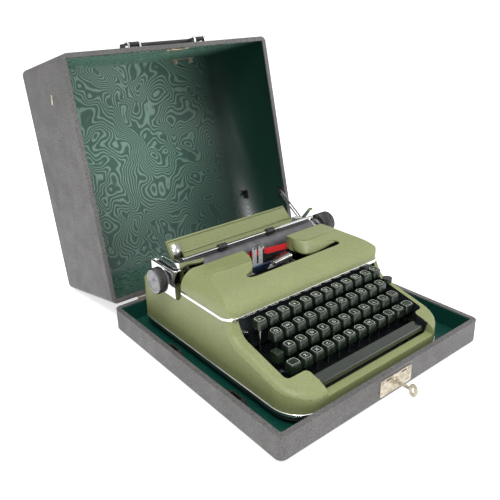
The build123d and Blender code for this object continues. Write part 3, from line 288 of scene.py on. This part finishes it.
for name, (key, width) in FINISH.items():
    paint(nodes[name], key)
    soften(nodes[name], width)

# ------------------------------------------------------------------ shapes for added pieces

def piece(name, body, keys, vertices, faces, marks=None):
    """A new piece from points in millimetres, riding on a body. marks gives each face's material."""
    mesh = bpy.data.meshes.new(name)
    mesh.from_pydata([tuple(c * MM for c in v) for v in vertices], [], faces)
    mesh.validate()
    obj = bpy.data.objects.new(name, mesh)
    bpy.context.scene.collection.objects.link(obj)
    paint(obj, *keys)
    for index, polygon in enumerate(mesh.polygons):
        polygon.use_smooth = True
        if marks:
            polygon.material_index = marks[index]
    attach(obj, body)
    return obj


class Shape:
    """Points, faces and material marks gathered for one piece."""

    def __init__(self):
        self.points = []
        self.faces = []
        self.marks = []

    def loft(self, rings, marks=None, closed=True, caps=(True, True)):
        """Skin a run of rings that all have the same number of points."""
        first = len(self.points)
        count = len(rings[0])
        for ring in rings:
            self.points.extend(ring)
        last = count if closed else count - 1
        for step in range(len(rings) - 1):
            mark = marks[step] if marks else 0
            for i in range(last):
                j = (i + 1) % count
                a = first + step * count
                self.faces.append((a + i, a + j, a + count + j, a + count + i))
                self.marks.append(mark)
        if caps[0]:
            self.faces.append(tuple(first + i for i in reversed(range(count))))
            self.marks.append(marks[0] if marks else 0)
        if caps[1]:
            end = first + (len(rings) - 1) * count
            self.faces.append(tuple(end + i for i in range(count)))
            self.marks.append(marks[-1] if marks else 0)

    def box(self, x, y, z, mark=0):
        """A plain cuboid between two values on each axis."""
        low = [(x[0], y[0], z[0]), (x[1], y[0], z[0]), (x[1], y[1], z[0]), (x[0], y[1], z[0])]
        high = [(p[0], p[1], z[1]) for p in low]
        self.loft([low, high], [mark])

    def tube(self, path, radius, mark=0, sides=8):
        """A round wire along a run of points."""
        rings = []
        for i, point in enumerate(path):
            here = Vector(point)
            ahead = Vector(path[min(i + 1, len(path) - 1)]) - Vector(path[max(i - 1, 0)])
            ahead.normalize()
            across = ahead.orthogonal() if i == 0 else (across - ahead * across.dot(ahead))
            across.normalize()
            other = ahead.cross(across)
            rings.append([tuple(here + (across * math.cos(t) + other * math.sin(t)) * radius)
                          for t in (2 * math.pi * k / sides for k in range(sides))])
        self.loft(rings, [mark] * (len(rings) - 1))

    def make(self, name, body, *keys):
        return piece(name, body, keys, self.points, self.faces, self.marks)


def rounded_ring(x, y, z, width, depth, corner, steps=5):
    """Points round a level rounded rectangle."""
    points = []
    for side_x, side_y, start in ((1, -1, -90), (1, 1, 0), (-1, 1, 90), (-1, -1, 180)):
        for k in range(steps + 1):
            turn = math.radians(start + 90 * k / steps)
            points.append((x + side_x * (width / 2 - corner) + corner * math.cos(turn),
                           y + side_y * (depth / 2 - corner) + corner * math.sin(turn), z))
    return points


def round_x(x, y, z, radius, count=48, wave=0.0, flutes=0):
    """Points round a circle that faces along X, fluted if asked."""
    points = []
    for k in range(count):
        turn = 2 * math.pi * k / count
        reach = radius - wave * (0.5 - 0.5 * math.cos(flutes * turn))
        points.append((x, y + reach * math.cos(turn), z + reach * math.sin(turn)))
    return points


# ------------------------------------------------------------------ keys

CAP_STEPS = ((11.0, 0.0, 2.4), (10.4, 0.02, 2.5), (1.8, 0.62, 2.9), (0.9, 0.82, 3.0), (0.3, 1.2, 3.0),
             (0.0, 1.9, 2.9), (0.02, 2.0, 3.2), (0.02, 2.32, 3.0), (0.3, 3.0, 2.6), (0.5, 4.2, 2.0))
LINE_STEP = 6


def add_cap(shape, x, y, top, width=15.0, depth=15.0, line=True):
    """A tall key cap with a rounded shoulder, a light outline and a dished top."""
    rings = [rounded_ring(x, y, top - drop, width - 2 * inset, depth - 2 * inset, corner)
             for drop, inset, corner in CAP_STEPS]
    marks = [1 if line and step == LINE_STEP else 0 for step in range(len(rings) - 1)]
    shape.loft(rings, marks)


def add_letter(shape, text, x, y, z, size, mark=1):
    """One flat character lying on a key."""
    curve = bpy.data.curves.new("letter", "FONT")
    curve.body = text
    curve.size = size
    curve.resolution_u = 3
    curve.align_x = "CENTER"
    curve.align_y = "CENTER"
    holder = bpy.data.objects.new("letter", curve)
    bpy.context.scene.collection.objects.link(holder)
    bpy.context.view_layer.update()
    mesh = bpy.data.meshes.new_from_object(holder)
    first = len(shape.points)
    shape.points.extend((x + v.co.x, y + v.co.y, z) for v in mesh.vertices)
    for polygon in mesh.polygons:
        shape.faces.append(tuple(first + i for i in polygon.vertices))
        shape.marks.append(mark)
    bpy.data.objects.remove(holder)
    bpy.data.meshes.remove(mesh)
    bpy.data.curves.remove(curve)


KEY_PITCH = 18.6
FIRST_KEY = -105.7
ROW_Y = (-60.0, -77.7, -95.4, -113.0)
ROW_TOP = (93.0, 82.0, 71.0, 60.0)
ROW_SHIFT = (0.0, 0.5, 0.75, 1.25)
ROW_TEXT = ("<23456789O-+", "QWERTYUIOP=", "ASDFGHJKL;'", "ZXCVBNM,./")
SINGLE = {(0, 0): ("backspace_key", "backspace"), (2, 4): ("home_key", "home_key")}
MARK_SIZE, MARK_DROP, MARK_FORWARD = 6.2, 0.22, 0.2
LEVER_EYE_Y, LEVER_Z = 118.0, 36.0
LEVER_HALF, STEM_HALF, CAP_DEPTH = 0.6, 1.5, 10.9
EYE_RADIUS, EYE_HOLE = 5.0, 2.65


def add_marked_cap(shape, row, index, text):
    """A cap in its place in the rows with its mark on top. Returns the place."""
    x, y, top = FIRST_KEY + (ROW_SHIFT[row] + index) * KEY_PITCH, ROW_Y[row], ROW_TOP[row]
    add_cap(shape, x, y, top)
    add_letter(shape, text, x, y - MARK_FORWARD, top - MARK_DROP, MARK_SIZE)
    return x, y, top



for row, text in enumerate(ROW_TEXT):
    caps = Shape()
    for index, letter in enumerate(text):
        if (row, index) not in SINGLE:
            add_marked_cap(caps, row, index, letter)
    cap_piece = caps.make(f"caps_row_{row + 1}", f"row_{row + 1}", "key", "key_line")
    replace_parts(cap_piece, f"key_caps_row_{row + 1}")

for (row, index), (node, body) in SINGLE.items():
    caps = Shape()
    x, y, top = add_marked_cap(caps, row, index, ROW_TEXT[row][index])
    plate = (x - LEVER_HALF, x + LEVER_HALF)
    caps.box(plate, (y - STEM_HALF, LEVER_EYE_Y - 4.0), (LEVER_Z - 3.5, LEVER_Z + 3.5), 2)
    caps.box(plate, (y - STEM_HALF, y + STEM_HALF), (LEVER_Z + 3.4, top - CAP_DEPTH), 3)
    eye = ((-LEVER_HALF, EYE_HOLE), (-LEVER_HALF, EYE_RADIUS), (LEVER_HALF, EYE_RADIUS), (LEVER_HALF, EYE_HOLE),
           (-LEVER_HALF, EYE_HOLE))
    caps.loft([round_x(x + side, LEVER_EYE_Y, LEVER_Z, radius, 32) for side, radius in eye],
              [2] * 4, caps=(False, False))
    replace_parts(caps.make(f"cap_{body}", body, "key", "key_line", "pan", "steel"), node)

# Painted highlight: the front faces of the key stems get bright steel while their other faces stay dark enamel.
for row in range(4):
    levers = nodes[f"key_levers_row_{row + 1}"]
    levers.data.materials.append(M["steel"])
    for polygon in levers.data.polygons:
        if polygon.normal.y < -0.9 and polygon.center.y < -0.05:
            polygon.material_index = 1

shift_caps = Shape()
for x in (-101.5, 103.6):
    add_cap(shift_caps, x, ROW_Y[3], ROW_TOP[3], 17.0, 15.0)
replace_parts(shift_caps.make("caps_shift", "shift", "key", "key_line"), "shift_keys")

# ------------------------------------------------------------------ machine shell details

WELL_X, WELL_Y, WELL_TOP, WELL_LEDGE = (-128.6, 113.6), (-153, -45), 88, 45
shell = nodes["body_shell"]
shell.data.materials.append(M["pan"])
# Painted shade: the shell's faces inside the keyboard well, except the upward faces above the ledge, get dark
# enamel.
for polygon in shell.data.polygons:
    centre = shell.matrix_world @ polygon.center
    x, y, z = (c / MM for c in centre)
    in_well = WELL_X[0] < x < WELL_X[1] and WELL_Y[0] < y < WELL_Y[1] and z < WELL_TOP
    facing_up = polygon.normal.z > 0.5
    if in_well and not (facing_up and z > WELL_LEDGE):
        polygon.material_index = 1


def body_ring(z, grow):
    """Points round the machine's plan, grown outwards by a few tenths."""
    points = []
    left, right, front, back = -144.0 - grow, 124.0 + grow, -163.0 - grow, 152.0 + grow
    for corner_x, corner_y, radius, start in ((right, front, 38.0 + grow, -90), (right, back, 14.0 + grow, 0),
                                              (left, back, 14.0 + grow, 90), (left, front, 38.0 + grow, 180)):
        centre_x = corner_x - radius if corner_x > 0 else corner_x + radius
        centre_y = corner_y + radius if corner_y < 0 else corner_y - radius
        for k in range(13):
            turn = math.radians(start + 90 * k / 12)
            points.append((centre_x + radius * math.cos(turn), centre_y + radius * math.sin(turn), z))
    return points


edge_strip = Shape()
edge_strip.loft([body_ring(23.2, -0.6), body_ring(22.8, 0.7), body_ring(23.4, 1.2), body_ring(25.6, 1.2),
                 body_ring(26.2, 0.7), body_ring(26.4, -0.3)], caps=(False, False))
edge_strip.make("body_edge_strip", "case_base", "chrome")

# The sloping lip under the right side of the cover's opening.
lip_top = ((33.4, 46, 127.4), (33.0, 38, 127.5), (34, 26, 127.3), (42, 14, 126.6), (56, 5, 125.4), (76, -5, 123.0))
lip_low = ((38, 46, 116), (36, 38, 113.5), (30, 22, 111.5), (32, 6, 111.5), (48, -1, 113), (77, -6, 121.0))


def curve_through(points, steps=6):
    """A smooth run of points through the given ones."""
    result = []
    for i in range(len(points) - 1):
        p0, p1, p2, p3 = (Vector(points[min(max(i + k, 0), len(points) - 1)]) for k in (-1, 0, 1, 2))
        for s in range(steps):
            t = s / steps
            result.append(tuple(0.5 * (2 * p1 + (p2 - p0) * t + (2 * p0 - 5 * p1 + 4 * p2 - p3) * t * t
                                       + (3 * p1 - p0 - 3 * p2 + p3) * t ** 3)))
    result.append(tuple(points[-1]))
    return result


upper = curve_through(lip_top)
lower = curve_through(lip_low)
lip = Shape()
lip_rings = []
for t, bulge in ((0.0, 0.0), (0.12, 0.8), (0.35, 1.6), (0.6, 1.8), (0.85, 1.2), (1.0, 0.4)):
    lip_rings.append([tuple(Vector(a).lerp(Vector(b), t) + Vector((-0.6, -0.75, 0)) * bulge)
                      for a, b in zip(upper, lower)])
inner = [tuple(Vector(p) + Vector((1.6, 1.6, 1.0))) for p in lip_rings[-1]]
lip.loft(lip_rings + [inner], closed=False, caps=(False, False))
lip.make("cover_right_lip", "cover", "green")

# ------------------------------------------------------------------ carriage details

PLATEN_Y, PLATEN_Z = 76.0, 110.0
knobs = Shape()
for out, back_x, sign in ((-167.0, -154.0, -1), (150.0, 126.0, 1)):
    profile = ((0.0, 15.4, 0.0), (0.6, 17.0, 1.2), (abs(out - back_x) - 1.6, 17.0, 1.2),
               (abs(out - back_x) - 0.4, 15.6, 0.4))
    rings = [round_x(back_x + sign * reach, PLATEN_Y, PLATEN_Z, radius, 144, wave, 36)
             for reach, radius, wave in profile]
    knobs.loft(rings, caps=(True, False))
    disc = [round_x(out - sign * 0.4, PLATEN_Y, PLATEN_Z, 15.6, 144),
            round_x(out - sign * 0.05, PLATEN_Y, PLATEN_Z, 14.2, 144),
            round_x(out - sign * 0.05, PLATEN_Y, PLATEN_Z, 13.0, 144),
            round_x(out - sign * 0.9, PLATEN_Y, PLATEN_Z, 12.4, 144),
            round_x(out - sign * 0.9, PLATEN_Y, PLATEN_Z, 3.0, 144),
            round_x(out - sign * 0.3, PLATEN_Y, PLATEN_Z, 2.6, 144)]
    knobs.loft(disc, [1 if sign < 0 else 0] * 5, caps=(False, True))
    collar = ((back_x, 10.0), (back_x - sign * 1.0, 10.6), (back_x - sign * 5.0, 10.6), (back_x - sign * 5.4, 9.6))
    knobs.loft([round_x(x, PLATEN_Y, PLATEN_Z, radius, 72, 0.7, 24) for x, radius in collar], [1, 1, 1])
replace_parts(knobs.make("fluted_knobs", "platen", "black", "grey_metal"), "platen_knobs")

# The frame of the left end block, its dark top and the springs beside the knob. The dark top is dark enamel
# painted where the block's opening shows the dark mechanism inside, together with the painted shade of that
# opening.
frame_piece = nodes["carriage_frame"]
frame_piece.data.materials.append(M["pan"])
for polygon in frame_piece.data.polygons:
    centre = frame_piece.matrix_world @ polygon.center
    if centre.x < -0.128 and polygon.normal.z > 0.7 and centre.z > 0.115:
        polygon.material_index = 1
end_frame = Shape()
end_frame.tube([(-145.2, 109, 122.4), (-145.2, 60, 122.4), (-143, 58, 122.4), (-131, 58, 122.4)], 1.1)
end_frame.tube([(-131, 58, 122.4), (-129.6, 60, 122.4), (-129.6, 109, 122.4), (-131, 110.6, 122.4),
                (-144, 110.6, 122.4), (-145.2, 109, 122.4)], 1.1)
for turn in range(5):
    end_frame.tube([(-147.4 + 1.7 * math.sin(t), 66 + turn * 4.4 + 1.5 * math.cos(t), 120.6 + 0.25 * t)
                    for t in (0.7 * k for k in range(10))], 0.4, 0, 6)
end_frame.make("end_block_frame", "carriage", "chrome")

# The paper table's edge guide at the left, its crease and its folded top edge.
TABLE_LOW, TABLE_HIGH = Vector((0, 95.0, 100.0)), Vector((0, 118.0, 139.0))
TABLE_FACE = Vector((0, -39.0, 23.0)).normalized()


def on_table(x, share, lift):
    """A point on the paper table, by its share of the height and its distance from the face."""
    return tuple(Vector((x, 0, 0)) + TABLE_LOW.lerp(TABLE_HIGH, share) + TABLE_FACE * lift)


def table_band(shape, x, share, lift, mark=0):
    """A thin raised band across the paper table."""
    low = [on_table(x[0], share[0], 0.1), on_table(x[1], share[0], 0.1), on_table(x[1], share[1], 0.1),
           on_table(x[0], share[1], 0.1)]
    high = [on_table(x[0] + 0.3, share[0] + 0.01, lift), on_table(x[1] - 0.3, share[0] + 0.01, lift),
            on_table(x[1] - 0.3, share[1] - 0.01, lift), on_table(x[0] + 0.3, share[1] - 0.01, lift)]
    shape.loft([low, high], [mark])


bands = Shape()
table_band(bands, (-119.5, 99.0), (0.50, 0.56), 0.9)
table_band(bands, (-119.5, 93.0), (0.93, 0.995), 1.1)
table_band(bands, (-119.5, 99.5), (0.02, 0.12), 1.4)
bands.make("paper_table_bands", "carriage", "green")
guide = Shape()
table_band(guide, (-119.0, -101.0), (0.30, 0.92), 2.2)
table_band(guide, (-117.0, -103.0), (0.38, 0.84), 2.8, 1)
guide.make("paper_edge_guide", "carriage", "green", "chrome")

# The basket's cover plate, comb and wire loops in the opening.
segment_face = Shape()
arc = [(-34.0 + 17.5 * math.cos(t), 104.5 - 13.0 * math.sin(t)) for t in (math.pi * k / 16 for k in range(17))]
segment_face.loft([[(x + 10, 33.0, z) for x, z in arc], [(x + 10, 35.0, z) for x, z in arc]])
for k in range(9):
    x = 2.0 + k * 3.0
    segment_face.box((x, x + 0.9), (31.0 - k * 0.7, 42.0), (94.0 + k * 0.5, 100.5 + k * 0.8), 1)
segment_face.make("basket_cover", "basket", "blued", "steel")
loops = Shape()
loops.tube([(-10 + 7.0 * math.cos(t), 56.0, 117.0 + 4.8 * math.sin(t)) for t in
            (math.pi * k / 14 for k in range(15))], 0.5)
loops.make("guide_loops", "case_base", "pan")

# A small plate on the lid's left side.
plate = Shape()
plate.loft([[(x, 303.6 + 2.2 * a, 314.0 + 7.5 * b) for a, b in ((-1, -1), (1, -1), (1, 1), (-1, 1))]
            for x in (-177.8, -178.8)])
plate.make("lid_side_plate", "lid", "nickel")

# ------------------------------------------------------------------ floor, light and camera

floor_mesh = bpy.data.meshes.new("floor")
shape = bmesh.new()
bmesh.ops.create_grid(shape, x_segments=1, y_segments=1, size=80.0)
shape.to_mesh(floor_mesh)
shape.free()
floor = bpy.data.objects.new("floor", floor_mesh)
bpy.context.scene.collection.objects.link(floor)
floor_look = Nodes("floor_white")
floor_look.colour((0.93, 0.93, 0.93))
floor_look.rough(0.75)
floor_look.set(Emission_Color=(1.0, 1.0, 1.0, 1.0), Emission_Strength=0.6)
floor_mesh.materials.append(floor_look.mat)

world = bpy.data.worlds.new("studio")
bpy.context.scene.world = world
bpy.context.scene.view_settings.view_transform = "Standard"
world.use_nodes = True
world.node_tree.nodes["Background"].inputs["Color"].default_value = (1.0, 1.0, 1.0, 1.0)
world.node_tree.nodes["Background"].inputs["Strength"].default_value = 0.62


def lamp(name, place, target, size, power):
    """A soft square light aimed at a point."""
    data = bpy.data.lights.new(name, "AREA")
    data.shape = "SQUARE"
    data.size = size
    data.energy = power
    made = bpy.data.objects.new(name, data)
    bpy.context.scene.collection.objects.link(made)
    made.location = place
    made.rotation_euler = (Vector(target) - Vector(place)).to_track_quat("-Z", "Y").to_euler()


lamp("key_light", (-0.9, -1.0, 1.9), (0, 0, 0.12), 0.7, 36.0)
lamp("fill_light", (1.5, -1.0, 1.0), (0, 0, 0.12), 1.2, 7.0)
lamp("top_light", (0.1, 0.2, 2.0), (0, 0, 0.1), 1.4, 14.0)

CAMERA_TURN = (-38.11, 20.61, -1.51)
CAMERA_PLACE = (-0.5016, -0.5348, 0.4528)
CAMERA_LENS = 43.42
CAMERA_SHIFT = (0.0178, -0.0658)
azimuth, elevation, roll = (math.radians(v) for v in CAMERA_TURN)
back = Vector((math.sin(azimuth) * math.cos(elevation), -math.cos(azimuth) * math.cos(elevation),
               math.sin(elevation)))
right = Vector((math.cos(azimuth), math.sin(azimuth), 0.0))
up = back.cross(right)
right, up = right * math.cos(roll) + up * math.sin(roll), up * math.cos(roll) - right * math.sin(roll)
camera_data = bpy.data.cameras.new("camera")
camera_data.sensor_width = 36.0
camera_data.lens = CAMERA_LENS
camera_data.shift_x, camera_data.shift_y = CAMERA_SHIFT
camera = bpy.data.objects.new("camera", camera_data)
bpy.context.scene.collection.objects.link(camera)
camera.matrix_world = Matrix((
    (right.x, up.x, back.x, CAMERA_PLACE[0]), (right.y, up.y, back.y, CAMERA_PLACE[1]),
    (right.z, up.z, back.z, CAMERA_PLACE[2]), (0, 0, 0, 1)))
bpy.context.scene.camera = camera
